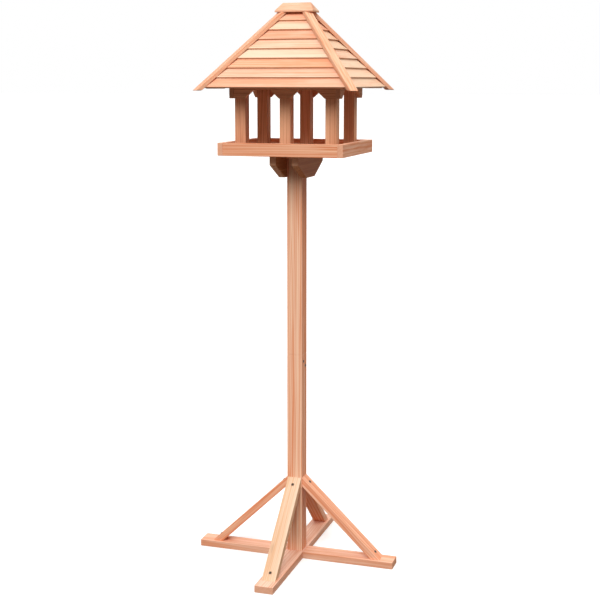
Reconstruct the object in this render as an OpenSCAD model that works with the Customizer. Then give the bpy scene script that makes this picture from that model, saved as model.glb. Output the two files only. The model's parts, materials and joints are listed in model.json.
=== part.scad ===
// Bird table: a roofed feeding house on a post with a crossed, braced foot.
// All lengths are millimetres. The ground is z = 0, the post stands on the z axis,
// -Y is the front and +X the right side.

/* [Post] */
// Width of the square post
post_w = 40; // [30:1:60]
// Length of the lower post
lower_post_len = 526.5; // [300:0.5:700]
// Length of the upper post, without its tenon
upper_post_len = 515; // [300:1:700]
// Width of the square tenon that joins the two lengths
tenon_w = 20; // [12:1:26]
// Length of the tenon
tenon_len = 45; // [25:1:70]
// Clearance around and under the tenon
tenon_gap = 0.25; // [0.1:0.05:0.5]

/* [Feet and braces] */
// Length of each of the two crossed foot boards
foot_len = 530; // [480:1:800]
// Width of a foot board
foot_w = 48; // [40:1:70]
// Thickness of a foot board
foot_t = 18; // [12:1:25]
// Distance from the post's face to the outer end of a brace
brace_reach = 210; // [120:1:215]
// Height of a brace's upper end above the foot boards
brace_rise = 200.5; // [120:0.5:280]
// Width of a brace
brace_w = 36; // [20:1:40]
// Thickness of a brace
brace_t = 18; // [12:1:22]

/* [Cheek boards under the tray] */
// Length of a cheek board
cheek_len = 210; // [150:1:250]
// Height of a cheek board
cheek_h = 58; // [40:1:90]
// Height of its upright ends
cheek_end_h = 23; // [10:1:35]
// Length of its straight lower edge
cheek_low_len = 66; // [30:1:130]
// Thickness of a cheek board
cheek_t = 17; // [10:1:22]

/* [Tray] */
// Outer width of the tray
tray_w = 320; // [300:1:400]
// Outer depth of the tray
tray_d = 280; // [220:1:290]
// Height of the rim
rim_h = 32; // [20:1:50]
// Thickness of the rim boards
rim_t = 14; // [8:1:18]
// Thickness of the floor
floor_t = 10; // [6:1:16]

/* [House posts] */
// Width of a square house post
house_post_w = 28; // [20:1:34]
// Length of a house post
house_post_len = 196; // [165:0.5:230]
// Distance from the tray's left and right edges to the posts
side_inset = 29.5; // [20:0.5:50]
// Distance from the tray's front and back edges to the posts
front_inset = 45; // [30:0.5:60]

/* [Valance] */
// Thickness of the valance boards
valance_t = 12; // [6:1:14]
// Height of the valance boards where they are deepest
valance_h = 67; // [40:0.5:80]
// Depth of the rebate in the posts that houses the front and back boards
rebate = 5; // [2:0.5:6]
// Height of the cut-outs in the lower edge
cut_rise = 21; // [10:1:30]
// Length of the slope at each end of a cut-out
cut_run = 22; // [10:1:30]
// Length of the deep part at each end of a side board
side_end_len = 18; // [10:1:40]

/* [Roof] */
// Distance the eaves reach beyond the valance on the left and the right
side_eave = 46; // [30:0.5:60]
// Distance the eaves reach beyond the valance at the front and the back
front_eave = 72.5; // [50:0.5:85]
// Pitch of the four faces, in degrees
pitch = 49.5; // [46:0.5:54]
// Lapped boards on each face
course_count = 8; // [5:1:10]
// Width by which a board lies under the next one
lap = 8; // [4:1:14]
// Width by which the top board would run on up beyond the cap's underside
top_cut = 5; // [0:1:16]
// Thickness of a roof board
board_t = 4.5; // [3.5:0.5:8]
// Width of the hip rafters
rafter_w = 20; // [14:1:28]
// Height of the notch that seats a rafter on the house
seat_h = 8; // [4:1:14]
// How far the battens run down below the eaves
tail_drop = 9; // [5:0.5:15]
// Width of the hip battens
batten_w = 22; // [18:1:32]
// Thickness of a batten over the hip, where the boards of two faces meet
batten_t = 4; // [3:0.5:14]

/* [Cap] */
// Height between the cap's underside and the line where the faces would meet
cap_drop = 22.5; // [16:0.5:28]
// Height of the packer that lies on the top boards and carries the cap
packer_h = 4.5; // [2:0.5:8]
// Distance the cap's base reaches beyond the ends of that line
cap_end = 35.5; // [30:0.5:50]
// Depth of the cap at its base
cap_d = 55; // [52:1:90]
// Height of the cap
cap_h = 24; // [15:1:50]
// Height of its upright lower edge
cap_lip = 4; // [2:0.5:8]
// Width of the bevel at its left and right end
cap_bevel = 13.5; // [5:0.5:20]
// Depth of its flat top
cap_top_d = 6; // [3:1:40]

/* [Hidden] */

raw_wood = [0.85, 0.61, 0.45];
shaded_wood = [0.71, 0.45, 0.31];
pale_wood = [0.95, 0.78, 0.61];

// Levels of the main parts
joint_z = foot_t + lower_post_len;
tray_z = joint_z + upper_post_len;
floor_z = tray_z + floor_t;
frame_z = floor_z + house_post_len;
valance_z = frame_z - valance_h;

// Middles of the outer posts, and half sizes of the valance frame round them
post_x = tray_w / 2 - side_inset - house_post_w / 2;
post_y = tray_d / 2 - front_inset - house_post_w / 2;
valance_x = post_x + house_post_w / 2 + valance_t;
valance_y = post_y + house_post_w / 2 + valance_t - rebate;

// Roof: the outer lower corners of all boards lie on four planes. The front and back
// planes would meet in a short level ridge, and they meet the side planes in hips.
eave_x = valance_x + side_eave;
eave_y = valance_y + front_eave;
half_ridge = eave_x - eave_y;
slope = tan(pitch);
hip_slope = slope / sqrt(2);
hip_stretch = sqrt(1 + pow(hip_slope, 2));
exposure = ((eave_y * slope - cap_drop) / sin(pitch) + top_cut) / course_count;
lean = asin(board_t / exposure);
board_w = exposure * cos(lean) + lap;
shell_t = board_w * sin(lean) + board_t * cos(lean);
shell_drop = shell_t / cos(pitch);
packer_drop = 0.4 * shell_drop;

// The frame of the house touches the boards from below, its corners carry the rafters
apex_z = frame_z + shell_drop + slope * max(valance_y, valance_x - half_ridge);
rafter_drop = apex_z - slope * valance_y - frame_z + seat_h;
eave_z = apex_z - slope * eave_y;
tail_z = eave_z - tail_drop;
cap_z = apex_z - cap_drop;
packer_z = cap_z - packer_h;
cap_w = 2 * (half_ridge + cap_end);
cap_top_w = cap_w - 2 * cap_bevel;

// Longer than any cut that has to pass right through
far = 1000;

module foot_board_front_back() {
    color(raw_wood)
        difference() {
            translate([-foot_w / 2, -foot_len / 2, 0])
                cube([foot_w, foot_len, foot_t]);
            translate([-foot_w, -foot_w / 2, -foot_t])
                cube([2 * foot_w, foot_w, 1.5 * foot_t]);
        }
}

module foot_board_side_to_side() {
    color(raw_wood)
        difference() {
            translate([-foot_len / 2, -foot_w / 2, 0])
                cube([foot_len, foot_w, foot_t]);
            translate([-foot_w / 2, -foot_w, foot_t / 2])
                cube([foot_w, 2 * foot_w, foot_t]);
        }
}

// A brace from the post's face down to a foot board, turned about the post
module brace(turn) {
    length = sqrt(pow(brace_reach, 2) + pow(brace_rise, 2));
    foot_cut = brace_t * length / brace_rise;
    head_cut = brace_t * length / brace_reach;
    color(raw_wood)
        rotate([0, 0, turn])
        translate([post_w / 2, 0, foot_t])
        rotate([90, 0, 0])
        linear_extrude(brace_w, center = true)
            polygon([
                [0, brace_rise],
                [0, brace_rise - head_cut],
                [brace_reach - foot_cut, 0],
                [brace_reach, 0]
            ]);
}

module brace_front() { brace(-90); }
module brace_back() { brace(90); }
module brace_left() { brace(180); }
module brace_right() { brace(0); }

module square_bar(width, length) {
    translate([-width / 2, -width / 2, 0])
        cube([width, width, length]);
}

module post_lower() {
    mortise_w = tenon_w + 2 * tenon_gap;
    color(raw_wood)
        difference() {
            translate([0, 0, foot_t])
                square_bar(post_w, lower_post_len);
            translate([0, 0, joint_z - tenon_len - tenon_gap])
                square_bar(mortise_w, far);
        }
}

module post_upper() {
    color(raw_wood)
        union() {
            translate([0, 0, joint_z])
                square_bar(post_w, upper_post_len);
            translate([0, 0, joint_z - tenon_len])
                square_bar(tenon_w, tenon_len + 1);
        }
}

// A cheek board on one side of the post's head; side is -1 left or 1 right
module cheek_board(side) {
    color(shaded_wood)
        translate([side * (post_w + cheek_t) / 2, 0, tray_z])
        rotate([90, 0, 90])
        linear_extrude(cheek_t, center = true)
            polygon([
                [-cheek_len / 2, 0],
                [-cheek_len / 2, -cheek_end_h],
                [-cheek_low_len / 2, -cheek_h],
                [cheek_low_len / 2, -cheek_h],
                [cheek_len / 2, -cheek_end_h],
                [cheek_len / 2, 0]
            ]);
}

module cheek_board_left() { cheek_board(-1); }
module cheek_board_right() { cheek_board(1); }

module tray_floor() {
    color(shaded_wood)
        translate([rim_t - tray_w / 2, rim_t - tray_d / 2, tray_z])
            cube([tray_w - 2 * rim_t, tray_d - 2 * rim_t, floor_t]);
}

// The side rims run the full depth, the front and back rims fit between them
module end_rim(side) {
    color(raw_wood)
        translate([
            rim_t - tray_w / 2,
            side * (tray_d - rim_t) / 2 - rim_t / 2,
            tray_z
        ])
            cube([tray_w - 2 * rim_t, rim_t, rim_h]);
}

module side_rim(side) {
    color(raw_wood)
        translate([
            side * (tray_w - rim_t) / 2 - rim_t / 2,
            -tray_d / 2,
            tray_z
        ])
            cube([rim_t, tray_d, rim_h]);
}

module tray_rim_front() { end_rim(-1); }
module tray_rim_back() { end_rim(1); }
module tray_rim_left() { side_rim(-1); }
module tray_rim_right() { side_rim(1); }

// column is -1, 0 or 1 from left to right; row is -1 at the front, 1 at the back
module house_post(column, row) {
    color(shaded_wood)
        difference() {
            translate([column * post_x, row * post_y, floor_z])
                square_bar(house_post_w, house_post_len);
            translate([
                column * post_x - house_post_w,
                row * valance_y - valance_t,
                valance_z
            ])
                cube([2 * house_post_w, 2 * valance_t, far]);
        }
}

module house_post_front_left() { house_post(-1, -1); }
module house_post_front_middle() { house_post(0, -1); }
module house_post_front_right() { house_post(1, -1); }
module house_post_back_left() { house_post(-1, 1); }
module house_post_back_middle() { house_post(0, 1); }
module house_post_back_right() { house_post(1, 1); }

// Outline of one cut-out in a valance's lower edge, from x1 to x2
module valance_cut(x1, x2) {
    polygon([
        [x1, -1],
        [x1, 0],
        [x1 + cut_run, cut_rise],
        [x2 - cut_run, cut_rise],
        [x2, 0],
        [x2, -1]
    ]);
}

// The front and back boards lie in the posts' rebates, between the side boards
module end_valance(row) {
    half = valance_x - valance_t;
    bay_in = house_post_w / 2;
    bay_out = post_x - house_post_w / 2;
    color(shaded_wood)
        translate([0, row * (valance_y - valance_t / 2), valance_z])
        rotate([90, 0, 0])
        linear_extrude(valance_t, center = true)
            difference() {
                translate([-half, 0])
                    square([2 * half, valance_h]);
                valance_cut(-bay_out, -bay_in);
                valance_cut(bay_in, bay_out);
            }
}

module side_valance(side) {
    color(shaded_wood)
        translate([side * (valance_x - valance_t / 2), 0, valance_z])
        rotate([90, 0, 90])
        linear_extrude(valance_t, center = true)
            difference() {
                translate([-valance_y, 0])
                    square([2 * valance_y, valance_h]);
                valance_cut(side_end_len - valance_y, valance_y - side_end_len);
            }
}

module valance_front() { end_valance(-1); }
module valance_back() { end_valance(1); }
module valance_left() { side_valance(-1); }
module valance_right() { side_valance(1); }

// Everything below the four roof planes, when they are lowered by drop
module under_roof(drop) {
    top = apex_z - drop;
    half_base = (top - tail_z + far / 10) / slope;
    base_z = top - slope * half_base;
    intersection() {
        rotate([90, 0, 90])
            linear_extrude(far, center = true)
                polygon([[-half_base, base_z], [half_base, base_z], [0, top]]);
        rotate([90, 0, 0])
            linear_extrude(far, center = true)
                polygon([
                    [-half_base - half_ridge, base_z],
                    [half_base + half_ridge, base_z],
                    [half_ridge, top],
                    [-half_ridge, top]
                ]);
    }
}

// The level slice of the roof between two heights, in one quarter
module roof_quarter(side, row, base, top) {
    translate([
        side > 0 ? 0 : -far,
        row > 0 ? 0 : -far,
        base
    ])
        cube([far, far, top - base]);
}

// A bar along one hip, from above to below the line where the faces meet
module hip_bar(side, row, width, above, below) {
    start = -width;
    end = (apex_z + above - tail_z) / hip_slope + width;
    translate([side * half_ridge, 0, apex_z])
        rotate([0, 0, atan2(row, side)])
        rotate([90, 0, 0])
        linear_extrude(width, center = true)
            polygon([
                [start, above - hip_slope * start],
                [end, above - hip_slope * end],
                [end, -below - hip_slope * end],
                [start, -below - hip_slope * start]
            ]);
}

module hip_rafter(side, row) {
    color(shaded_wood)
        difference() {
            intersection() {
                hip_bar(side, row, rafter_w, 0, rafter_drop);
                under_roof(shell_drop);
                roof_quarter(side, row, eave_z - board_t, packer_z);
            }
            translate([-valance_x, -valance_y, tail_z - 1])
                cube([2 * valance_x, 2 * valance_y, frame_z - tail_z + 1]);
        }
}

// A batten is grooved along its underside, so that it lies on the boards of both faces
module hip_batten(side, row) {
    color(pale_wood)
        difference() {
            intersection() {
                hip_bar(side, row, batten_w, batten_t * hip_stretch, batten_w);
                roof_quarter(side, row, tail_z, cap_z);
            }
            under_roof(0);
        }
}

module hip_rafter_front_left() { hip_rafter(-1, -1); }
module hip_rafter_front_right() { hip_rafter(1, -1); }
module hip_rafter_back_left() { hip_rafter(-1, 1); }
module hip_rafter_back_right() { hip_rafter(1, 1); }
module hip_batten_front_left() { hip_batten(-1, -1); }
module hip_batten_front_right() { hip_batten(1, -1); }
module hip_batten_back_left() { hip_batten(-1, 1); }
module hip_batten_back_right() { hip_batten(1, 1); }

// Section through the lapped boards: x runs up the slope from the eave and y stands
// square to it. Each board leans in, so that it carries the next one's lower edge.
module lapped_section() {
    into = [-board_t * sin(lean), -board_t * cos(lean)];
    top = [board_w * cos(lean), -board_w * sin(lean)];
    outer = [
        for (i = [1:course_count - 1], p = [[0, 0], into])
            [i * exposure, 0] + into - p
    ];
    inner = [
        for (i = [course_count - 1:-1:0], p = [[0, 0], into])
            [i * exposure, 0] + top + p
    ];
    polygon(concat([[0, 0]], outer, inner, [into]));
}

// One face of lapped boards; run is half the distance between its eave and the
// opposite one, turn points it to its side, and outline is its shape from above
module roof_face(turn, run, outline) {
    color(pale_wood)
        rotate([0, 0, turn])
        intersection() {
            translate([0, -run, eave_z])
                rotate([pitch, 0, 0])
                rotate([90, 0, 90])
                linear_extrude(far, center = true)
                    lapped_section();
            translate([0, 0, tail_z - shell_drop])
                linear_extrude(packer_z - tail_z + shell_drop)
                    polygon(outline);
        }
}

// Seen from above, the hips leave the ridge's ends at 45 degrees
long_outline = [
    [-half_ridge, 0],
    [-half_ridge - far, -far],
    [half_ridge + far, -far],
    [half_ridge, 0]
];
short_outline = [
    [0, -half_ridge],
    [-far, -half_ridge - far],
    [far, -half_ridge - far]
];

module roof_boards_front() { roof_face(0, eave_y, long_outline); }
module roof_boards_back() { roof_face(180, eave_y, long_outline); }
module roof_boards_left() { roof_face(-90, eave_x, short_outline); }
module roof_boards_right() { roof_face(90, eave_x, short_outline); }

// It lies on the cut tops of the rafters and the top boards, set back from their faces
module cap_packer() {
    color(pale_wood)
        intersection() {
            under_roof(packer_drop);
            translate([-far / 2, -far / 2, packer_z])
                cube([far, far, packer_h]);
        }
}

// The cap's outline along one of its two directions, as a long bar
module cap_profile(base, top) {
    rotate([90, 0, 0])
        linear_extrude(far, center = true)
            polygon([
                [-base / 2, 0],
                [base / 2, 0],
                [base / 2, cap_lip],
                [top / 2, cap_h],
                [-top / 2, cap_h],
                [-base / 2, cap_lip]
            ]);
}

module roof_cap() {
    color(pale_wood)
        translate([0, 0, cap_z])
        intersection() {
            cap_profile(cap_w, cap_top_w);
            rotate([0, 0, 90])
                cap_profile(cap_d, cap_top_d);
        }
}

foot_board_front_back();
foot_board_side_to_side();
brace_front();
brace_back();
brace_left();
brace_right();
post_lower();
post_upper();
cheek_board_left();
cheek_board_right();
tray_floor();
tray_rim_front();
tray_rim_back();
tray_rim_left();
tray_rim_right();
house_post_front_left();
house_post_front_middle();
house_post_front_right();
house_post_back_left();
house_post_back_middle();
house_post_back_right();
valance_front();
valance_back();
valance_left();
valance_right();
hip_rafter_front_left();
hip_rafter_front_right();
hip_rafter_back_left();
hip_rafter_back_right();
roof_boards_front();
roof_boards_back();
roof_boards_left();
roof_boards_right();
hip_batten_front_left();
hip_batten_front_right();
hip_batten_back_left();
hip_batten_back_right();
cap_packer();
roof_cap();
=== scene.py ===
"""Wooden bird table: eased timbers, lapped roof boards, screws, timber finishes and a plain studio."""

import json
import math
import random

import bpy
from bpy.props import (
    FloatProperty,
    FloatVectorProperty,
    IntProperty,
    IntVectorProperty,
    PointerProperty,
)
from mathutils import Matrix, Vector

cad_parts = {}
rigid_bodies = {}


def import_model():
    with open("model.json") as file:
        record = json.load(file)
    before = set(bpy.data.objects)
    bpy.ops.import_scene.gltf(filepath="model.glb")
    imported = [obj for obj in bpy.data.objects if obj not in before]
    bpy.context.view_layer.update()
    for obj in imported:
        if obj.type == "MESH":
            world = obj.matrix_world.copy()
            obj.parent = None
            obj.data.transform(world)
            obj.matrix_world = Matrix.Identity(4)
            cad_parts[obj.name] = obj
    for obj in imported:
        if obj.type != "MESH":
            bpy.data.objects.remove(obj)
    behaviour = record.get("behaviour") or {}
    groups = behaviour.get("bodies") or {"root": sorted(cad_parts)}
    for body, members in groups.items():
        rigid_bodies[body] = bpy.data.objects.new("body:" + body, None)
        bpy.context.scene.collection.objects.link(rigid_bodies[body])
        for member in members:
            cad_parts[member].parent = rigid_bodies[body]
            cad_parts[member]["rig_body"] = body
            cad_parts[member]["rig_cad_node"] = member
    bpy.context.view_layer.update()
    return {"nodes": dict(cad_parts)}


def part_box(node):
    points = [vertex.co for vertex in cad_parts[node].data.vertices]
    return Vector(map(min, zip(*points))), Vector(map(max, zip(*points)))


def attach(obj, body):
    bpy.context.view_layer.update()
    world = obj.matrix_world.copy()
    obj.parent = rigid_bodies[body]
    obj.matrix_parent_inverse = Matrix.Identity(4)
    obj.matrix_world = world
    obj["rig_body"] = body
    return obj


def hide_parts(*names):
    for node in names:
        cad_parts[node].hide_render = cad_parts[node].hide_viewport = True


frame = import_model()

bl_info = {
    "name": "Bird table",
    "version": (1, 0, 0),
    "blender": (4, 5, 0),
    "location": "3D View > Sidebar > Bird table",
    "description": "Dresses the packed bird table in planed softwood and sets up its studio",
    "category": "Object",
}

X_AXIS = Vector((1, 0, 0))
Y_AXIS = Vector((0, 1, 0))
Z_AXIS = Vector((0, 0, 1))
SIDES = {"front": 0, "right": 90, "back": 180, "left": 270}
CORNERS = {
    "front_left": Vector((-1, -1, 0)),
    "front_right": Vector((1, -1, 0)),
    "back_left": Vector((-1, 1, 0)),
    "back_right": Vector((1, 1, 0)),
}

# Each finish: its family of woods, how strongly the grain shows, and what the group adds to it
FINISHES = {
    # post: painted shade darkens the post's left and right faces
    "post": ("stand", 1.35, {"Shade": -0.15, "Edge shade": 0.4}),
    # foot: painted shade darkens the boards' side faces, so the tops look lit from above
    "foot": ("foot", 1.15, {"Shade": -0.05, "Edge shade": 0.3}),
    "brace": ("stand", 1.15, {"Shade": 0.12}),
    # front brace: painted shade deepens its side faces
    "front brace": ("brace", 1.15, {"Edge shade": 0.6}),
    # tray: a painted highlight brightens the narrow faces, the rims' top edges among them
    "tray": ("tray", 1.15, {"Shade": -0.04, "Edge shade": -0.4}),
    # cheeks: a painted highlight brightens their top, bottom and chamfered faces
    "left cheek": ("cheek", 1.15, {"Shade": -0.04, "Edge shade": -0.4}),
    # the right cheek's deeper shade is painted shade on its outer face, which lies under the tray
    "right cheek": ("cheek", 1.15, {"Shade": 0.45, "Edge shade": -0.4}),
    "house": ("house", 1.25, {"Shade": -0.05}),
    # roof boards: painted shade and a painted lap shadow darken each board's lower and upper edges
    "roof board": ("roof", 0.7, {"Edge shade": 0.5, "Edge grime": 0.38, "Figure": 0.4}),
    "batten": ("roof", 0.9, {"Shade": 0.2}),
    # packer: house wood deepened into painted shade for the dark recess under the cap
    "packer": ("house", 1.0, {"Shade": 0.6, "Knots": 0.0}),
    "cap": ("roof", 0.8, {"Shade": 0.12, "Figure": 0.5}),
}

# The two screws through the tenon: across the post's right face, and down from the joint
POST_SCREWS = ((-0.007, 0.018), (0.009, 0.032))
SCREW_HOLE_GAP = 0.0004
# Least and most by which a roof board stops short of the hip
MITRE_GAP = (0.0002, 0.0008)
SAME_PLACE = 1e-5

# Dark brown of the painted lap shadow laid on the roof boards' narrow faces
LAP_SHADOW_PAINT = (0.25, 0.14, 0.08, 1)
KNOT_HALO = (0.80, 0.52, 0.32, 1)
KNOT_CORE = (0.16, 0.065, 0.025, 1)

# Each lamp: where it shines from, how far its light spreads in degrees, and its colour
LAMPS = {
    "key": ((0.1, -2.2, 1.85), 34, (1.0, 1.0, 1.0)),
    "fill": ((2.6, 0.0, 3.0), 40, (1.0, 0.95, 0.88)),
    "back": ((-1.6, 2.4, 1.9), 50, (1.0, 1.0, 1.0)),
}
# How bright the sky is at the horizon, as a share of its brightness straight above
HORIZON_SHARE = 0.10
FLOOR_SIZE = 200
FLOOR_GLOW = 0.30
CAMERA_PLACE = (0.9456, -2.9102, 1.2415)
CAMERA_YAW = math.radians(18.02)
CAMERA_PITCH = math.radians(8.61)
CAMERA_SHIFT = (0.0058, -0.06)


# ---------------------------------------------------------------- measures


def turned(vector, side):
    """A direction given for the front, turned to another side of the house."""
    return Matrix.Rotation(math.radians(SIDES[side]), 3, "Z") @ vector


def roof_measures(sizes):
    """Pitch, laps and levels of the lapped roof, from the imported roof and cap."""
    front = frame["nodes"]["roof_boards_front"]
    low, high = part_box("roof_boards_front")
    eave_y = -low.y
    eave_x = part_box("roof_boards_right")[1].x
    eave_z = max(v.co.z for v in front.data.vertices if v.co.y < low.y + SAME_PLACE)
    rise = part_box("roof_cap")[0].z - eave_z
    exposure = (rise / math.sin(sizes.pitch) + sizes.top_cut) / sizes.courses
    lean = math.asin(sizes.board_thickness / exposure)
    return {
        "run": {"front": eave_y, "back": eave_y, "left": eave_x, "right": eave_x},
        "half_ridge": eave_x - eave_y,
        "eave_z": eave_z,
        "top_z": high.z,
        "exposure": exposure,
        "tilt": sizes.pitch - lean,
        "board_width": exposure * math.cos(lean) + sizes.lap,
    }


# ---------------------------------------------------------------- workbench


def pick_nothing():
    if bpy.context.mode != "OBJECT":
        bpy.ops.object.mode_set(mode="OBJECT")
    bpy.ops.object.select_all(action="DESELECT")


def pick(*pieces):
    """Leaves only these pieces selected, the first of them active."""
    pick_nothing()
    for piece in pieces:
        piece.select_set(True)
    bpy.context.view_layer.objects.active = pieces[0]


def open_mesh(piece, mode="EDGE"):
    """Edit mode with everything selected."""
    pick(piece)
    bpy.ops.object.mode_set(mode="EDIT")
    bpy.ops.mesh.select_mode(type=mode)
    bpy.ops.mesh.select_all(action="SELECT")


def close_mesh():
    bpy.ops.object.mode_set(mode="OBJECT")


def ease_edges(piece, width, segments=2, along=None):
    """Rounds every true edge of a piece, or only those along a direction."""
    open_mesh(piece)
    bpy.ops.mesh.select_all(action="DESELECT")
    bpy.ops.mesh.edges_select_sharp(sharpness=math.radians(15))
    close_mesh()
    if along:
        for edge in piece.data.edges:
            start, end = (piece.data.vertices[index].co for index in edge.vertices)
            edge.select = edge.select and abs((end - start).normalized().dot(along)) > 0.99
    bpy.ops.object.mode_set(mode="EDIT")
    bpy.ops.mesh.bevel(offset=width, segments=segments, affect="EDGES")
    close_mesh()


def apply_modifier(piece, kind, **settings):
    pick(piece)
    bpy.ops.object.modifier_add(type=kind)
    modifier = piece.modifiers[-1]
    for key, value in settings.items():
        setattr(modifier, key, value)
    bpy.ops.object.modifier_apply(modifier=modifier.name)


def settle(piece):
    """Puts the piece's place into its mesh, with its object at the origin."""
    pick(piece)
    bpy.ops.object.transform_apply(location=True, rotation=True, scale=True)


def cut_away(piece, tool):
    """Takes the tool's shape out of the piece."""
    settle(tool)
    apply_modifier(piece, "BOOLEAN", operation="DIFFERENCE", solver="EXACT", object=tool)
    bpy.data.objects.remove(tool)


def finish_piece(piece, slot=None, *nodes):
    """Fixes a finished piece to the stand and hides the packed parts it stands for."""
    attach(piece, "root")
    if nodes:
        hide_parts(*nodes)


def sawn_copy(node, name):
    """A merged, editable copy of a packed timber."""
    pick(frame["nodes"][node])
    bpy.ops.object.duplicate()
    piece = bpy.context.active_object
    bpy.ops.object.parent_clear(type="CLEAR_KEEP_TRANSFORM")
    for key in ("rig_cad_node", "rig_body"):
        if key in piece:
            del piece[key]
    piece.name = name
    piece.data.materials.clear()
    open_mesh(piece, "VERT")
    bpy.ops.mesh.remove_doubles(threshold=SAME_PLACE)
    bpy.ops.mesh.dissolve_limited(angle_limit=math.radians(0.5))
    close_mesh()
    return piece


# ---------------------------------------------------------------- timber finish


def grain_group():
    """Softwood seen in the solid: growth rings, long streaks, cloudy figure, fibres and knots, with
    painted shade and painted highlights on a board's narrow faces.

    The grain runs along X of the incoming vector and the pith lies on its X axis.
    """
    name = "Softwood grain"
    if name in bpy.data.node_groups:
        return bpy.data.node_groups[name]
    group = bpy.data.node_groups.new(name, "ShaderNodeTree")
    face = group.interface

    def socket(label, kind, way="INPUT", value=None):
        made = face.new_socket(name=label, in_out=way, socket_type=kind)
        if value is not None:
            made.default_value = value

    socket("Vector", "NodeSocketVector")
    socket("Normal", "NodeSocketVector")
    for label in ("Light wood", "Dark wood", "End wood", "Blush"):
        socket(label, "NodeSocketColor")
    socket("Ring spacing", "NodeSocketFloat", value=0.005)
    socket("Contrast", "NodeSocketFloat", value=1.0)
    for label in ("Shade", "Edge shade", "Edge grime", "Figure"):
        socket(label, "NodeSocketFloat", value=0.0)
    socket("Knots", "NodeSocketFloat", value=0.05)
    socket("Color", "NodeSocketColor", "OUTPUT")
    socket("Roughness", "NodeSocketFloat", "OUTPUT")
    socket("Height", "NodeSocketFloat", "OUTPUT")

    nodes, links = group.nodes, group.links
    start = nodes.new("NodeGroupInput")
    end = nodes.new("NodeGroupOutput")

    def node(kind, **settings):
        made = nodes.new(kind)
        for key, value in settings.items():
            setattr(made, key, value)
        return made

    def join(source, target):
        links.new(source, target)

    def math_node(operation, a, b=None, clamp=False):
        made = node("ShaderNodeMath", operation=operation, use_clamp=clamp)
        for index, value in enumerate((a, b)):
            if value is None:
                continue
            if isinstance(value, (int, float)):
                made.inputs[index].default_value = value
            else:
                join(value, made.inputs[index])
        return made.outputs[0]

    def stretched(scale, source):
        made = node("ShaderNodeVectorMath", operation="MULTIPLY")
        join(source, made.inputs[0])
        made.inputs[1].default_value = scale
        return made.outputs[0]

    def noise(scale, source, detail=2.0, roughness=0.5):
        made = node("ShaderNodeTexNoise")
        join(stretched(scale, source), made.inputs["Vector"])
        made.inputs["Scale"].default_value = 1.0
        made.inputs["Detail"].default_value = detail
        made.inputs["Roughness"].default_value = roughness
        return made

    def remap(value, low, high, out_low=0.0, out_high=1.0):
        made = node("ShaderNodeMapRange", interpolation_type="SMOOTHSTEP")
        join(value, made.inputs["Value"])
        made.inputs["From Min"].default_value = low
        made.inputs["From Max"].default_value = high
        made.inputs["To Min"].default_value = out_low
        made.inputs["To Max"].default_value = out_high
        return made.outputs["Result"]

    def blend(factor, a, b, kind="MIX"):
        made = node("ShaderNodeMix", data_type="RGBA", blend_type=kind)
        for index, value in ((0, factor), (6, a), (7, b)):
            if isinstance(value, (int, float, tuple)):
                made.inputs[index].default_value = value
            else:
                join(value, made.inputs[index])
        return made.outputs[2]

    place = start.outputs["Vector"]

    # a knot pushes the rings aside and turns them dark round itself
    knots = node("ShaderNodeTexVoronoi", feature="F1")
    join(stretched((2.6, 11.0, 11.0), place), knots.inputs["Vector"])
    knots.inputs["Scale"].default_value = 1.0
    knots.inputs["Randomness"].default_value = 0.9
    rare = node("ShaderNodeSeparateColor")
    join(knots.outputs["Color"], rare.inputs["Color"])
    chance = math_node("LESS_THAN", rare.outputs["Red"], start.outputs["Knots"])
    core = math_node("MULTIPLY", remap(knots.outputs["Distance"], 0.05, 0.10, 1, 0), chance)
    halo = math_node("MULTIPLY", remap(knots.outputs["Distance"], 0.04, 0.42, 1, 0), chance)

    # growth rings round the pith, wavy along the board
    wave = noise((1.6, 16.0, 16.0), place, 2.0)
    parts = node("ShaderNodeSeparateXYZ")
    join(place, parts.inputs["Vector"])
    squares = math_node(
        "ADD",
        math_node("MULTIPLY", parts.outputs["Y"], parts.outputs["Y"]),
        math_node("MULTIPLY", parts.outputs["Z"], parts.outputs["Z"]),
    )
    radius = math_node("SQRT", squares)
    drift = math_node("MULTIPLY", math_node("SUBTRACT", wave.outputs["Fac"], 0.5), 0.02)
    bulge = math_node("MULTIPLY", halo, 0.006)
    wavy = math_node("ADD", math_node("ADD", radius, drift), bulge)
    turns = math_node("DIVIDE", wavy, start.outputs["Ring spacing"])
    phase = math_node("FRACT", turns)
    late = math_node("MULTIPLY", remap(phase, 0.40, 0.90), remap(phase, 0.92, 1.0, 1, 0))

    # rings come in paler and darker runs of years
    years = node("ShaderNodeTexNoise", noise_dimensions="1D")
    join(math_node("MULTIPLY", turns, 0.31), years.inputs["W"])
    years.inputs["Scale"].default_value = 1.0
    years.inputs["Detail"].default_value = 2.0
    run = remap(years.outputs["Fac"], 0.3, 0.7)

    # streaks lean a little one way and then the other along the board
    sway = noise((1.4, 4.0, 4.0), place, 1.0)
    leaning = node("ShaderNodeVectorMath", operation="MULTIPLY_ADD")
    join(sway.outputs["Color"], leaning.inputs[0])
    leaning.inputs[1].default_value = (0.0, 0.05, 0.05)
    join(place, leaning.inputs[2])
    streak = noise((1.1, 75.0, 75.0), leaning.outputs[0], 3.0, 0.6)
    line = noise((1.8, 190.0, 190.0), leaning.outputs[0], 2.0, 0.5)
    cloud = noise((7.0, 34.0, 34.0), place, 4.0, 0.6)
    broad = noise((0.9, 13.0, 13.0), place, 2.0)
    fibre = noise((14.0, 900.0, 900.0), place, 2.0, 0.6)

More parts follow.
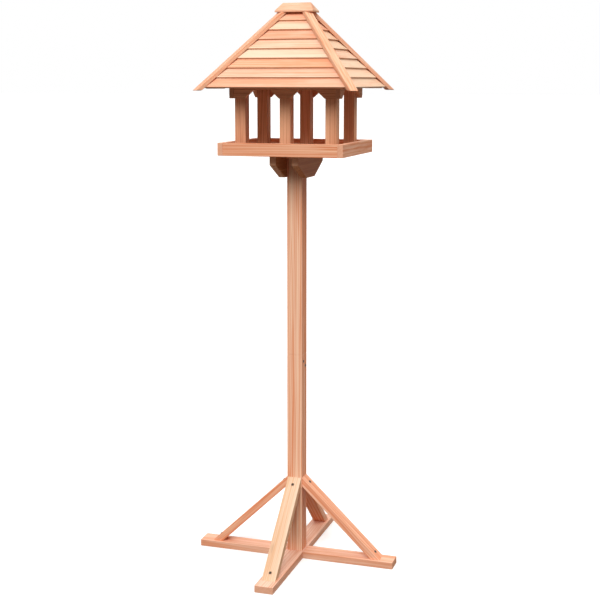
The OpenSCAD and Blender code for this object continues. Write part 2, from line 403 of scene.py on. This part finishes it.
    depth = math_node("ADD", math_node("MULTIPLY", run, 0.5), 0.5)
    rings = math_node("MULTIPLY", math_node("MULTIPLY", late, depth), 0.42)
    dark = math_node("ADD", rings, math_node("MULTIPLY", run, 0.12))
    for part, low, high, share in ((streak, 0.36, 0.68, 0.30), (line, 0.42, 0.63, 0.38)):
        share = math_node("MULTIPLY", remap(part.outputs["Fac"], low, high), share)
        dark = math_node("ADD", dark, share)
    dark = math_node("ADD", dark, math_node("MULTIPLY", fibre.outputs["Fac"], 0.08))
    dark = math_node("MULTIPLY", dark, start.outputs["Contrast"])
    patch = remap(cloud.outputs["Fac"], 0.36, 0.64, -0.5, 0.5)
    dark = math_node("ADD", dark, math_node("MULTIPLY", patch, start.outputs["Figure"]))

    # painted shade on the narrow faces of a board: a positive edge shade darkens them, a negative one
    # paints a highlight on them
    facing = node("ShaderNodeSeparateXYZ")
    join(start.outputs["Normal"], facing.inputs["Vector"])
    narrow = remap(math_node("ABSOLUTE", facing.outputs["Y"]), 0.80, 0.97)
    dark = math_node("ADD", dark, math_node("MULTIPLY", narrow, start.outputs["Edge shade"]))
    dark = math_node("ADD", dark, start.outputs["Shade"], clamp=True)

    colour = blend(dark, start.outputs["Light wood"], start.outputs["Dark wood"])
    rosy = math_node("MULTIPLY", remap(broad.outputs["Fac"], 0.42, 0.68), 0.55)
    colour = blend(rosy, colour, start.outputs["Blush"], "MULTIPLY")
    # painted shadow: dark brown laid over the narrow faces, for the shade under each lapped roof board
    grime_and_painted_shadow = math_node("MULTIPLY", narrow, start.outputs["Edge grime"])
    colour = blend(grime_and_painted_shadow, colour, LAP_SHADOW_PAINT)
    colour = blend(math_node("MULTIPLY", halo, 0.25), colour, KNOT_HALO, "MULTIPLY")
    colour = blend(math_node("MULTIPLY", core, 0.75), colour, KNOT_CORE)

    # the end grain takes a tone of its own
    ends = remap(math_node("ABSOLUTE", facing.outputs["X"]), 0.80, 0.97)
    colour = blend(math_node("MULTIPLY", ends, 0.75), colour, start.outputs["End wood"])
    join(colour, end.inputs["Color"])

    rough = math_node("ADD", math_node("MULTIPLY", fibre.outputs["Fac"], 0.16), 0.56)
    rough = math_node("ADD", rough, math_node("MULTIPLY", ends, 0.16))
    rough = math_node("SUBTRACT", rough, math_node("MULTIPLY", late, 0.05))
    join(rough, end.inputs["Roughness"])

    height = math_node("MULTIPLY", late, 0.35)
    height = math_node("ADD", height, math_node("MULTIPLY", fibre.outputs["Fac"], 0.65))
    height = math_node("ADD", height, math_node("MULTIPLY", core, 0.5))
    join(height, end.inputs["Height"])
    return group


def timber(piece, along, across, finish, seed, shade=None):
    """Gives a piece its own board of softwood, its grain running along one direction.

    A shade given here takes the place of the finish's own.
    """
    family, contrast, tint = FINISHES[finish]
    chance = random.Random(seed)
    along = along.normalized()
    depth = along.cross(across).normalized()
    across = depth.cross(along).normalized()
    turn = Matrix((along, across, depth))
    corners = [Vector(corner) for corner in piece.bound_box]
    centre = sum(corners, Vector()) / 8
    angle = chance.uniform(-0.9, 0.9) + (math.pi if chance.random() < 0.5 else 0)
    pith = chance.uniform(0.07, 0.16)
    offset = Vector((chance.uniform(-9, 9), pith * math.cos(angle), pith * math.sin(angle)))
    offset -= turn @ centre

    woods = bpy.context.scene.bird_table_woods
    light, deep, ends = woods.tones(family)
    paler = chance.uniform(-1.0, 1.0) * woods.variation
    warmer = chance.uniform(-1.0, 1.0) * woods.variation
    shift = (1 + 0.5 * paler, 1 + paler * 0.8 - 0.25 * warmer, 1 + paler - 0.8 * warmer)

    def shaded(colour):
        return tuple(min(0.97, c * s) for c, s in zip(colour, shift)) + (1,)

    material = bpy.data.materials.new("Timber " + seed.replace("_", " "))
    material.use_nodes = True
    nodes, links = material.node_tree.nodes, material.node_tree.links
    shader = nodes["Principled BSDF"]
    shader.inputs["Specular IOR Level"].default_value = 0.12
    spot = nodes.new("ShaderNodeTexCoord")
    lie = nodes.new("ShaderNodeMapping")
    lie.label = "Lay the grain along the piece"
    lie.vector_type = "POINT"
    lie.inputs["Rotation"].default_value = turn.to_euler()
    lie.inputs["Location"].default_value = offset
    face = nodes.new("ShaderNodeMapping")
    face.label = "Turn the faces with the grain"
    face.vector_type = "VECTOR"
    face.inputs["Rotation"].default_value = turn.to_euler()
    wood = nodes.new("ShaderNodeGroup")
    wood.node_tree = grain_group()
    wood.inputs["Light wood"].default_value = shaded(light)
    wood.inputs["Dark wood"].default_value = shaded(deep)
    wood.inputs["End wood"].default_value = shaded(ends)
    wood.inputs["Blush"].default_value = tuple(woods.blush) + (1,)
    wood.inputs["Ring spacing"].default_value = woods.ring_spacing * chance.uniform(0.75, 1.35)
    wood.inputs["Contrast"].default_value = contrast * chance.uniform(0.85, 1.15)
    for name, value in tint.items():
        wood.inputs[name].default_value = value
    if shade is not None:
        wood.inputs["Shade"].default_value = shade
    relief = nodes.new("ShaderNodeBump")
    relief.inputs["Strength"].default_value = 0.35
    relief.inputs["Distance"].default_value = 0.0006
    links.new(spot.outputs["Object"], lie.inputs["Vector"])
    links.new(spot.outputs["Normal"], face.inputs["Vector"])
    links.new(lie.outputs["Vector"], wood.inputs["Vector"])
    links.new(face.outputs["Vector"], wood.inputs["Normal"])
    links.new(wood.outputs["Color"], shader.inputs["Base Color"])
    links.new(wood.outputs["Roughness"], shader.inputs["Roughness"])
    links.new(wood.outputs["Height"], relief.inputs["Height"])
    links.new(relief.outputs["Normal"], shader.inputs["Normal"])
    piece.data.materials.clear()
    piece.data.materials.append(material)


def seen_directly(nodes, links):
    """1 for what the camera sees itself, in a gloss or through glass."""
    path = nodes.new("ShaderNodeLightPath")
    seen = path.outputs["Is Camera Ray"]
    for way in ("Is Glossy Ray", "Is Transmission Ray"):
        either = nodes.new("ShaderNodeMath")
        either.operation = "MAXIMUM"
        links.new(seen, either.inputs[0])
        links.new(path.outputs[way], either.inputs[1])
        seen = either.outputs[0]
    return seen


def screw_steel():
    """Darkened steel of the screw heads, mottled with a little dirt."""
    name = "Screw steel"
    if name in bpy.data.materials:
        return bpy.data.materials[name]
    material = bpy.data.materials.new(name)
    material.use_nodes = True
    nodes, links = material.node_tree.nodes, material.node_tree.links
    shader = nodes["Principled BSDF"]
    shader.inputs["Metallic"].default_value = 0.5
    spot = nodes.new("ShaderNodeTexCoord")
    grime_and_painted_shadow = nodes.new("ShaderNodeTexNoise")
    grime_and_painted_shadow.inputs["Scale"].default_value = 900.0
    grime_and_painted_shadow.inputs["Detail"].default_value = 3.0
    tint = nodes.new("ShaderNodeMix")
    tint.data_type = "RGBA"
    tint.inputs[6].default_value = (0.05, 0.03, 0.02, 1)
    tint.inputs[7].default_value = (0.16, 0.11, 0.08, 1)
    rough = nodes.new("ShaderNodeMapRange")
    rough.inputs["To Min"].default_value = 0.38
    rough.inputs["To Max"].default_value = 0.62
    links.new(spot.outputs["Object"], grime_and_painted_shadow.inputs["Vector"])
    links.new(grime_and_painted_shadow.outputs["Fac"], tint.inputs[0])
    links.new(grime_and_painted_shadow.outputs["Fac"], rough.inputs["Value"])
    links.new(tint.outputs[2], shader.inputs["Base Color"])
    links.new(rough.outputs["Result"], shader.inputs["Roughness"])
    return material


# ---------------------------------------------------------------- screws


def screw_head(radius):
    """One countersunk head with a cross recess, facing +Z with its top at the origin."""
    pick_nothing()
    bpy.ops.mesh.primitive_cylinder_add(
        vertices=24, radius=radius, depth=radius * 0.9, location=(0, 0, -radius * 0.45)
    )
    head = bpy.context.active_object
    open_mesh(head, "FACE")
    bpy.ops.mesh.select_all(action="DESELECT")
    close_mesh()
    for polygon in head.data.polygons:
        polygon.select = polygon.normal.z < -0.9
    bpy.ops.object.mode_set(mode="EDIT")
    bpy.ops.transform.resize(value=(0.45, 0.45, 1))
    close_mesh()
    ease_edges(head, radius * 0.07)
    for angle in (0, math.pi / 2):
        pick_nothing()
        bpy.ops.mesh.primitive_cube_add(
            size=1,
            location=(0, 0, 0),
            rotation=(0, 0, angle),
            scale=(radius * 1.15, radius * 0.24, radius * 0.7),
        )
        cut_away(head, bpy.context.active_object)
    return head


def drive_screws(name, timbers, spots, sizes):
    """Cuts a countersink at each spot of its timber and sets a screw head in it."""
    pattern = screw_head(sizes.screw_width / 2)
    heads = []
    for number, (timber_name, point, out) in enumerate(spots):
        turn = out.to_track_quat("Z", "Y").to_matrix().to_4x4()
        radius = sizes.screw_width / 2 + SCREW_HOLE_GAP
        pick_nothing()
        bpy.ops.mesh.primitive_cylinder_add(
            vertices=32,
            radius=radius,
            depth=sizes.screw_depth * 2 + radius * 2,
            location=point,
            rotation=turn.to_euler(),
        )
        cut_away(timbers[timber_name], bpy.context.active_object)
        head = pattern.copy()
        head.data = pattern.data.copy()
        bpy.context.collection.objects.link(head)
        spin = Matrix.Rotation(0.7 + number * 1.3, 4, "Z")
        seat = Matrix.Translation(point - out * sizes.screw_depth)
        head.matrix_world = seat @ turn @ spin
        heads.append(head)
    bpy.data.objects.remove(pattern)
    for head in heads:
        settle(head)
    pick(*heads)
    bpy.ops.object.join()
    screws = bpy.context.active_object
    screws.name = name
    screws.data.materials.clear()
    screws.data.materials.append(screw_steel())
    finish_piece(screws)


# ---------------------------------------------------------------- settings


class BirdTableSizes(bpy.types.PropertyGroup):
    pitch: FloatProperty(
        name="Pitch",
        description="Pitch of the four roof faces",
        default=math.radians(49.5),
        subtype="ANGLE",
        unit="ROTATION",
    )
    courses: IntProperty(
        name="Courses", description="Lapped boards on each roof face", default=8, min=3
    )
    board_thickness: FloatProperty(
        name="Board thickness",
        description="Thickness of a roof board",
        default=0.0045,
        unit="LENGTH",
    )
    top_cut: FloatProperty(
        name="Top cut",
        description="Width by which the top board would run on up beyond the cap's underside",
        default=0.005,
        unit="LENGTH",
    )
    lap: FloatProperty(
        name="Lap",
        description="Width by which a roof board lies under the next one",
        default=0.008,
        unit="LENGTH",
    )
    eased_edge: FloatProperty(
        name="Eased edge",
        description="Rounding of the planed timbers' edges",
        default=0.001,
        unit="LENGTH",
    )
    board_edge: FloatProperty(
        name="Board edge",
        description="Rounding of the roof boards' edges",
        default=0.0007,
        unit="LENGTH",
    )
    batten_edge: FloatProperty(
        name="Batten edge",
        description="Rounding of the hip battens' edges",
        default=0.002,
        unit="LENGTH",
    )
    screw_width: FloatProperty(
        name="Screw width",
        description="Width of a screw head",
        default=0.0072,
        unit="LENGTH",
    )
    screw_depth: FloatProperty(
        name="Screw depth",
        description="Depth of a screw head below the wood",
        default=0.0006,
        unit="LENGTH",
    )
    screw_from_end: FloatProperty(
        name="Screw from end",
        description="Distance along a brace from its end to its screw",
        default=0.022,
        unit="LENGTH",
    )


def colour_property(name, description, default):
    return FloatVectorProperty(
        name=name, description=description, default=default, subtype="COLOR", min=0, max=1
    )


class BirdTableWoods(bpy.types.PropertyGroup):
    roof_light: colour_property("Roof light", "Pale wood of the roof", (0.90, 0.65, 0.47))
    roof_dark: colour_property("Roof dark", "Dark streaks of the roof", (0.84, 0.385, 0.225))
    roof_ends: colour_property("Roof ends", "End grain of the roof", (0.78, 0.50, 0.34))
    stand_light: colour_property("Stand light", "Pale wood of the stand", (0.97, 0.62, 0.43))
    stand_dark: colour_property("Stand dark", "Dark streaks of the stand", (0.76, 0.27, 0.13))
    stand_ends: colour_property("Stand ends", "End grain of the stand", (0.70, 0.34, 0.20))
    foot_light: colour_property("Foot light", "Pale wood of the foot boards", (0.90, 0.60, 0.45))
    foot_dark: colour_property("Foot dark", "Dark streaks of the foot boards", (0.72, 0.315, 0.18))
    foot_ends: colour_property("Foot ends", "End grain of the foot boards", (0.70, 0.34, 0.20))
    brace_light: colour_property("Brace light", "Pale wood of the front brace", (0.84, 0.66, 0.50))
    brace_dark: colour_property("Brace dark", "Dark streaks of the front brace", (0.72, 0.45, 0.27))
    brace_ends: colour_property("Brace ends", "End grain of the front brace", (0.70, 0.42, 0.27))
    tray_light: colour_property("Tray light", "Pale wood of the tray", (0.93, 0.54, 0.35))
    tray_dark: colour_property("Tray dark", "Dark streaks of the tray", (0.72, 0.23, 0.10))
    tray_ends: colour_property("Tray ends", "End grain of the tray", (0.82, 0.43, 0.27))
    # The cheeks' pale and dark woods are set much darker than the other timbers: painted shade for the
    # shade under the tray; their end grain stays pale.
    cheek_light: colour_property("Cheek light", "Pale wood of the cheeks", (0.60, 0.27, 0.115))
    cheek_dark: colour_property("Cheek dark", "Dark streaks of the cheeks", (0.44, 0.15, 0.05))
    cheek_ends: colour_property("Cheek ends", "End grain of the cheeks", (0.80, 0.44, 0.28))
    house_light: colour_property("House light", "Pale wood of the house", (0.84, 0.46, 0.27))
    house_dark: colour_property("House dark", "Dark streaks of the house", (0.60, 0.265, 0.14))
    house_ends: colour_property("House ends", "End grain of the house", (0.62, 0.32, 0.19))
    blush: colour_property("Blush", "Rosy tinge that drifts through the wood", (1.0, 0.84, 0.78))
    board_draws: IntVectorProperty(
        name="Board draws",
        description="Which draw of boards each roof face is laid from: front, right, back, left",
        size=4,
        default=(1, 2, 3, 4),
    )
    board_range: FloatProperty(
        name="Board range",
        description="How far the roof boards differ in depth of tone",
        default=0.55,
    )
    ring_spacing: FloatProperty(
        name="Ring spacing",
        description="Distance between growth rings",
        default=0.0052,
        unit="LENGTH",
    )
    variation: FloatProperty(
        name="Variation",
        description="How much one board differs from the next in tone",
        default=0.07,
    )

    def tones(self, family):
        return [getattr(self, f"{family}_{part}") for part in ("light", "dark", "ends")]


class BirdTableStudio(bpy.types.PropertyGroup):
    background: colour_property("Background", "Colour behind the bird table", (1.0, 1.0, 1.0))
    key_strength: FloatProperty(
        name="Key light", description="Strength of the light from above the front", default=2.55
    )
    fill_strength: FloatProperty(
        name="Fill light", description="Strength of the light from the right", default=0.96
    )
    back_strength: FloatProperty(
        name="Back light", description="Strength of the light from behind", default=0.9
    )
    sky_strength: FloatProperty(
        name="Sky light", description="Strength of the sky straight above", default=0.62
    )
    lens: FloatProperty(
        name="Lens", description="Focal length of the camera, in millimetres", default=72.6
    )


# ---------------------------------------------------------------- operators


class BIRDTABLE_OT_stand(bpy.types.Operator):
    """Builds the crossed foot, its braces and the two lengths of the post"""

    bl_idname = "birdtable.stand"
    bl_label = "Stand"

    def execute(self, context):
        sizes = context.scene.bird_table_sizes
        made = {}
        for node in ("foot_board_front_back", "foot_board_side_to_side"):
            made[node] = sawn_copy(node, node.replace("foot_board", "foot"))
        for side in SIDES:
            made["brace_" + side] = sawn_copy("brace_" + side, side + "_brace")
        for part in ("lower", "upper"):
            made["post_" + part] = sawn_copy("post_" + part, part + "_post")
        for node, piece in made.items():
            ease_edges(piece, sizes.eased_edge, along=Z_AXIS if node.startswith("post") else None)
        drive_screws("stand_screws", made, self.screw_spots(sizes), sizes)
        for node, piece in made.items():
            finish = "front brace" if node == "brace_front" else node.split("_")[0]
            if node == "post_upper":
                # the upper length comes from the lower one's timber: its grain runs on
                piece.data.materials.append(made["post_lower"].data.materials[0])
            else:
                timber(piece, *self.grain(node), finish, node)
            finish_piece(piece, "stand_wood", node)
        return {"FINISHED"}

    def screw_spots(self, sizes):
        """Two screws in each brace and two through the tenon, from the right."""
        spots = []
        for side in SIDES:
            head, foot = self.brace_line(side)
            slope = (foot - head).normalized()
            face = slope.cross(turned(X_AXIS, side))
            for point in (
                head + slope * sizes.screw_from_end,
                foot - slope * sizes.screw_from_end,
            ):
                spots.append(("brace_" + side, point, face))
        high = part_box("post_lower")[1]
        for across, down in POST_SCREWS:
            point = Vector((high.x, across, high.z - down))
            spots.append(("post_lower", point, X_AXIS))
        return spots

    def brace_line(self, side):
        """Head and foot of the line down the middle of a brace's upper face."""
        low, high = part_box("brace_" + side)
        out = turned(-Y_AXIS, side)
        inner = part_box("post_lower")[1].x
        outer = max(low.dot(out), high.dot(out))
        return out * inner + Z_AXIS * high.z, out * outer + Z_AXIS * low.z

    def grain(self, node):
        if node.startswith("post"):
            return Z_AXIS, X_AXIS
        if node == "foot_board_front_back":
            return Y_AXIS, X_AXIS
        if node == "foot_board_side_to_side":
            return X_AXIS, Y_AXIS
        side = node.split("_")[1]
        head, foot = self.brace_line(side)
        return foot - head, turned(X_AXIS, side)


class BIRDTABLE_OT_tray(bpy.types.Operator):
    """Builds the cheek boards, the feeding floor and the four rims"""

    bl_idname = "birdtable.tray"
    bl_label = "Tray"

    def execute(self, context):
        sizes = context.scene.bird_table_sizes
        for side in ("left", "right"):
            cheek = side + "_cheek"
            # the right cheek's finish is darkened: painted shade on its outer face under the tray
            finish = side + " cheek"
            self.board("cheek_board_" + side, cheek, Y_AXIS, Z_AXIS, sizes, finish)
            self.board("tray_rim_" + side, side + "_rim", Y_AXIS, Z_AXIS, sizes)
        for side in ("front", "back"):
            self.board("tray_rim_" + side, side + "_rim", X_AXIS, Z_AXIS, sizes)
        self.board("tray_floor", "feeding_floor", X_AXIS, Y_AXIS, sizes)
        return {"FINISHED"}

    def board(self, node, name, along, across, sizes, finish="tray"):
        piece = sawn_copy(node, name)
        ease_edges(piece, sizes.eased_edge)
        timber(piece, along, across, finish, node)
        finish_piece(piece, "tray_wood", node)


class BIRDTABLE_OT_house(bpy.types.Operator):
    """Builds the six posts, the valance round them and the rafters under the hips"""

    bl_idname = "birdtable.house"
    bl_label = "House"

    def execute(self, context):
        sizes = context.scene.bird_table_sizes
        for row in ("front", "back"):
            for column in ("left", "middle", "right"):
                node = f"house_post_{row}_{column}"
                self.timber_from(node, f"{row}_{column}_post", Z_AXIS, X_AXIS, sizes)
            self.timber_from("valance_" + row, row + "_valance", X_AXIS, Z_AXIS, sizes)
        for side in ("left", "right"):
            self.timber_from("valance_" + side, side + "_valance", Y_AXIS, Z_AXIS, sizes)
        for corner, out in CORNERS.items():
            node = "hip_rafter_" + corner
            self.timber_from(node, corner + "_rafter", hip_line(out), out.cross(Z_AXIS), sizes)
        return {"FINISHED"}

    def timber_from(self, node, name, along, across, sizes):
        piece = sawn_copy(node, name)
        ease_edges(piece, sizes.eased_edge)
        timber(piece, along, across, "house", node)
        finish_piece(piece, "house_wood", node)


def hip_line(out):
    """Direction down a hip, towards one corner of the house."""
    low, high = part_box("hip_batten_front_right")
    fall = (high.z - low.z) / (high.x - low.x)
    return (out - Z_AXIS * fall).normalized()


class BIRDTABLE_OT_roof_boards(bpy.types.Operator):
    """Laps the boards of the four roof faces and mitres them at the hips"""

    bl_idname = "birdtable.roof_boards"
    bl_label = "Roof boards"

    def execute(self, context):
        sizes = context.scene.bird_table_sizes
        woods = context.scene.bird_table_woods
        roof = roof_measures(sizes)
        for side, number in zip(SIDES, woods.board_draws):
            draw = random.Random(f"{side} roof {number}")
            shades = [draw.uniform(-1, 1) * woods.board_range for _ in range(sizes.courses)]
            boards = [
                self.board(side, course, shade, roof, sizes) for course, shade in enumerate(shades)
            ]
            pick(*boards)
            bpy.ops.object.join()
            face = bpy.context.active_object
            face.name = side + "_roof_face"
            finish_piece(face, "roof_wood", "roof_boards_" + side)
        return {"FINISHED"}

    def board(self, side, course, shade, roof, sizes):
        chance = random.Random(f"{side} board {course}")
        width = roof["board_width"]
        along = turned(X_AXIS, side)
        out = turned(-Y_AXIS, side)
        up = -out * math.cos(roof["tilt"]) + Z_AXIS * math.sin(roof["tilt"])
        face = along.cross(up)
        run = roof["run"][side]
        climb = course * roof["exposure"]
        corner = out * (run - climb * math.cos(sizes.pitch))
        corner += Z_AXIS * (roof["eave_z"] + climb * math.sin(sizes.pitch))
        centre = corner + up * width / 2 - face * sizes.board_thickness / 2
        turn = Matrix((along, up, face)).transposed()
        pick_nothing()
        bpy.ops.mesh.primitive_cube_add(
            size=1,
            location=centre,
            rotation=turn.to_euler(),
            scale=(run * 2.4, width, sizes.board_thickness),
        )
        board = bpy.context.active_object
        settle(board)
        open_mesh(board)
        inset = roof["half_ridge"] if side in ("front", "back") else -roof["half_ridge"]
        for way in (1, -1):
            mitre = (along * way - out).normalized()
            self.cut(along * way * (inset - chance.uniform(*MITRE_GAP)), mitre)
        self.cut(Z_AXIS * roof["top_z"], Z_AXIS)
        close_mesh()
        ease_edges(board, sizes.board_edge)
        timber(board, along, up, "roof board", f"{side}_roof_board_{course + 1}", shade)
        return board

    def cut(self, point, away):
        bpy.ops.mesh.select_all(action="SELECT")
        bpy.ops.mesh.bisect(plane_co=point, plane_no=away, use_fill=True, clear_outer=True)


class BIRDTABLE_OT_hips_and_cap(bpy.types.Operator):
    """Builds the battens over the hips and the cap on top of them"""

    bl_idname = "birdtable.hips_and_cap"
    bl_label = "Hips and cap"

    def execute(self, context):
        sizes = context.scene.bird_table_sizes
        for corner, out in CORNERS.items():
            node = "hip_batten_" + corner
            piece = sawn_copy(node, corner + "_batten")
            ease_edges(piece, sizes.batten_edge, 3)
            timber(piece, hip_line(out), out.cross(Z_AXIS), "batten", node)
            finish_piece(piece, "roof_wood", node)
        packer = sawn_copy("cap_packer", "packer")
        ease_edges(packer, sizes.board_edge)
        # its deep tone is painted shade for the dark recess under the cap
        timber(packer, X_AXIS, Y_AXIS, "packer", "cap_packer")
        finish_piece(packer, "roof_wood", "cap_packer")
        cap = sawn_copy("roof_cap", "cap")
        ease_edges(cap, sizes.eased_edge)
        timber(cap, X_AXIS, Y_AXIS, "cap", "roof_cap")
        finish_piece(cap, "roof_wood", "roof_cap")
        return {"FINISHED"}


class BIRDTABLE_OT_stage(bpy.types.Operator):
    """Lays the floor and sets the lamps, the sky and the camera"""

    bl_idname = "birdtable.stage"
    bl_label = "Studio"

    def execute(self, context):
        studio = context.scene.bird_table_studio
        self.floor(studio)
        self.sky(context.scene, studio)
        for name, (place, spread, colour) in LAMPS.items():
            self.lamp(name.title(), getattr(studio, name + "_strength"), place, spread, colour)
        self.camera(context.scene, studio)
        context.scene.view_settings.view_transform = "Standard"
        return {"FINISHED"}

    def floor(self, studio):
        pick_nothing()
        bpy.ops.mesh.primitive_plane_add(size=FLOOR_SIZE, location=(0, 0, 0))
        floor = bpy.context.active_object
        floor.name = "studio_floor"
        material = bpy.data.materials.new("Studio floor")
        material.use_nodes = True
        nodes, links = material.node_tree.nodes, material.node_tree.links
        nodes.clear()
        pale = nodes.new("ShaderNodeBsdfDiffuse")
        pale.inputs["Color"].default_value = (0.80, 0.80, 0.80, 1)
        glow = nodes.new("ShaderNodeEmission")
        glow.inputs["Color"].default_value = tuple(studio.background) + (1,)
        glow.inputs["Strength"].default_value = FLOOR_GLOW
        both = nodes.new("ShaderNodeAddShader")
        dull = nodes.new("ShaderNodeBsdfDiffuse")
        dull.inputs["Color"].default_value = (0.12, 0.105, 0.09, 1)
        choose = nodes.new("ShaderNodeMixShader")
        face = nodes.new("ShaderNodeNewGeometry")
        clear = nodes.new("ShaderNodeBsdfTransparent")
        one_sided = nodes.new("ShaderNodeMixShader")
        one_sided.label = "Clear from below"
        out = nodes.new("ShaderNodeOutputMaterial")
        links.new(pale.outputs["BSDF"], both.inputs[0])
        links.new(glow.outputs["Emission"], both.inputs[1])
        links.new(seen_directly(nodes, links), choose.inputs["Fac"])
        links.new(dull.outputs["BSDF"], choose.inputs[1])
        links.new(both.outputs["Shader"], choose.inputs[2])
        links.new(face.outputs["Backfacing"], one_sided.inputs["Fac"])
        links.new(choose.outputs["Shader"], one_sided.inputs[1])
        links.new(clear.outputs["BSDF"], one_sided.inputs[2])
        links.new(one_sided.outputs["Shader"], out.inputs["Surface"])
        floor.data.materials.append(material)

    def sky(self, scene, studio):
        world = bpy.data.worlds.new("Studio")
        scene.world = world
        world.use_nodes = True
        nodes, links = world.node_tree.nodes, world.node_tree.links
        nodes.clear()
        plain = nodes.new("ShaderNodeBackground")
        plain.inputs["Color"].default_value = tuple(studio.background) + (1,)
        plain.inputs["Strength"].default_value = 1.0
        soft = nodes.new("ShaderNodeBackground")
        soft.inputs["Color"].default_value = (1.0, 0.98, 0.96, 1)
        way = nodes.new("ShaderNodeTexCoord")
        parts = nodes.new("ShaderNodeSeparateXYZ")
        height = nodes.new("ShaderNodeMapRange")
        height.inputs["To Min"].default_value = studio.sky_strength * HORIZON_SHARE
        height.inputs["To Max"].default_value = studio.sky_strength
        links.new(way.outputs["Generated"], parts.inputs["Vector"])
        links.new(parts.outputs["Z"], height.inputs["Value"])
        links.new(height.outputs["Result"], soft.inputs["Strength"])
        choose = nodes.new("ShaderNodeMixShader")
        out = nodes.new("ShaderNodeOutputWorld")
        links.new(seen_directly(nodes, links), choose.inputs["Fac"])
        links.new(soft.outputs["Background"], choose.inputs[1])
        links.new(plain.outputs["Background"], choose.inputs[2])
        links.new(choose.outputs["Shader"], out.inputs["Surface"])

    def lamp(self, name, strength, place, spread, colour):
        data = bpy.data.lights.new(name, "SUN")
        data.energy = strength
        data.color = colour
        data.angle = math.radians(spread)
        lamp = bpy.data.objects.new(name, data)
        lamp.location = place
        lamp.rotation_euler = Vector(place).to_track_quat("Z", "Y").to_euler()
        bpy.context.scene.collection.objects.link(lamp)

    def camera(self, scene, studio):
        """Stands in front and a little to the right, with the eye just above the eaves."""
        data = bpy.data.cameras.new("Camera")
        data.lens = studio.lens
        data.sensor_width = 36
        data.shift_x, data.shift_y = CAMERA_SHIFT
        data.clip_end = 500
        camera = bpy.data.objects.new("Camera", data)
        level = math.cos(CAMERA_PITCH)
        back = Vector(
            (
                math.sin(CAMERA_YAW) * level,
                -math.cos(CAMERA_YAW) * level,
                math.sin(CAMERA_PITCH),
            )
        )
        camera.location = CAMERA_PLACE
        camera.rotation_euler = back.to_track_quat("Z", "Y").to_euler()
        scene.collection.objects.link(camera)
        scene.camera = camera


class BIRDTABLE_PT_panel(bpy.types.Panel):
    bl_idname = "BIRDTABLE_PT_panel"
    bl_label = "Bird table"
    bl_space_type = "VIEW_3D"
    bl_region_type = "UI"
    bl_category = "Bird table"

    def draw(self, context):
        scene = context.scene
        for group in (scene.bird_table_sizes, scene.bird_table_woods, scene.bird_table_studio):
            box = self.layout.box()
            for name in group.__annotations__:
                box.prop(group, name)
        for operator in BUILD_ORDER:
            self.layout.operator(operator.bl_idname)


BUILD_ORDER = (
    BIRDTABLE_OT_stand,
    BIRDTABLE_OT_tray,
    BIRDTABLE_OT_house,
    BIRDTABLE_OT_roof_boards,
    BIRDTABLE_OT_hips_and_cap,
    BIRDTABLE_OT_stage,
)
SETTINGS = {
    "bird_table_sizes": BirdTableSizes,
    "bird_table_woods": BirdTableWoods,
    "bird_table_studio": BirdTableStudio,
}


def register():
    for settings in SETTINGS.values():
        bpy.utils.register_class(settings)
    for operator in BUILD_ORDER:
        bpy.utils.register_class(operator)
    bpy.utils.register_class(BIRDTABLE_PT_panel)
    for name, settings in SETTINGS.items():
        setattr(bpy.types.Scene, name, PointerProperty(type=settings))


def unregister():
    for name in SETTINGS:
        delattr(bpy.types.Scene, name)
    bpy.utils.unregister_class(BIRDTABLE_PT_panel)
    for operator in reversed(BUILD_ORDER):
        bpy.utils.unregister_class(operator)
    for settings in reversed(SETTINGS.values()):
        bpy.utils.unregister_class(settings)


def main():
    register()
    bpy.ops.birdtable.stand()
    bpy.ops.birdtable.tray()
    bpy.ops.birdtable.house()
    bpy.ops.birdtable.roof_boards()
    bpy.ops.birdtable.hips_and_cap()
    bpy.ops.birdtable.stage()


if __name__ == "__main__":
    main()
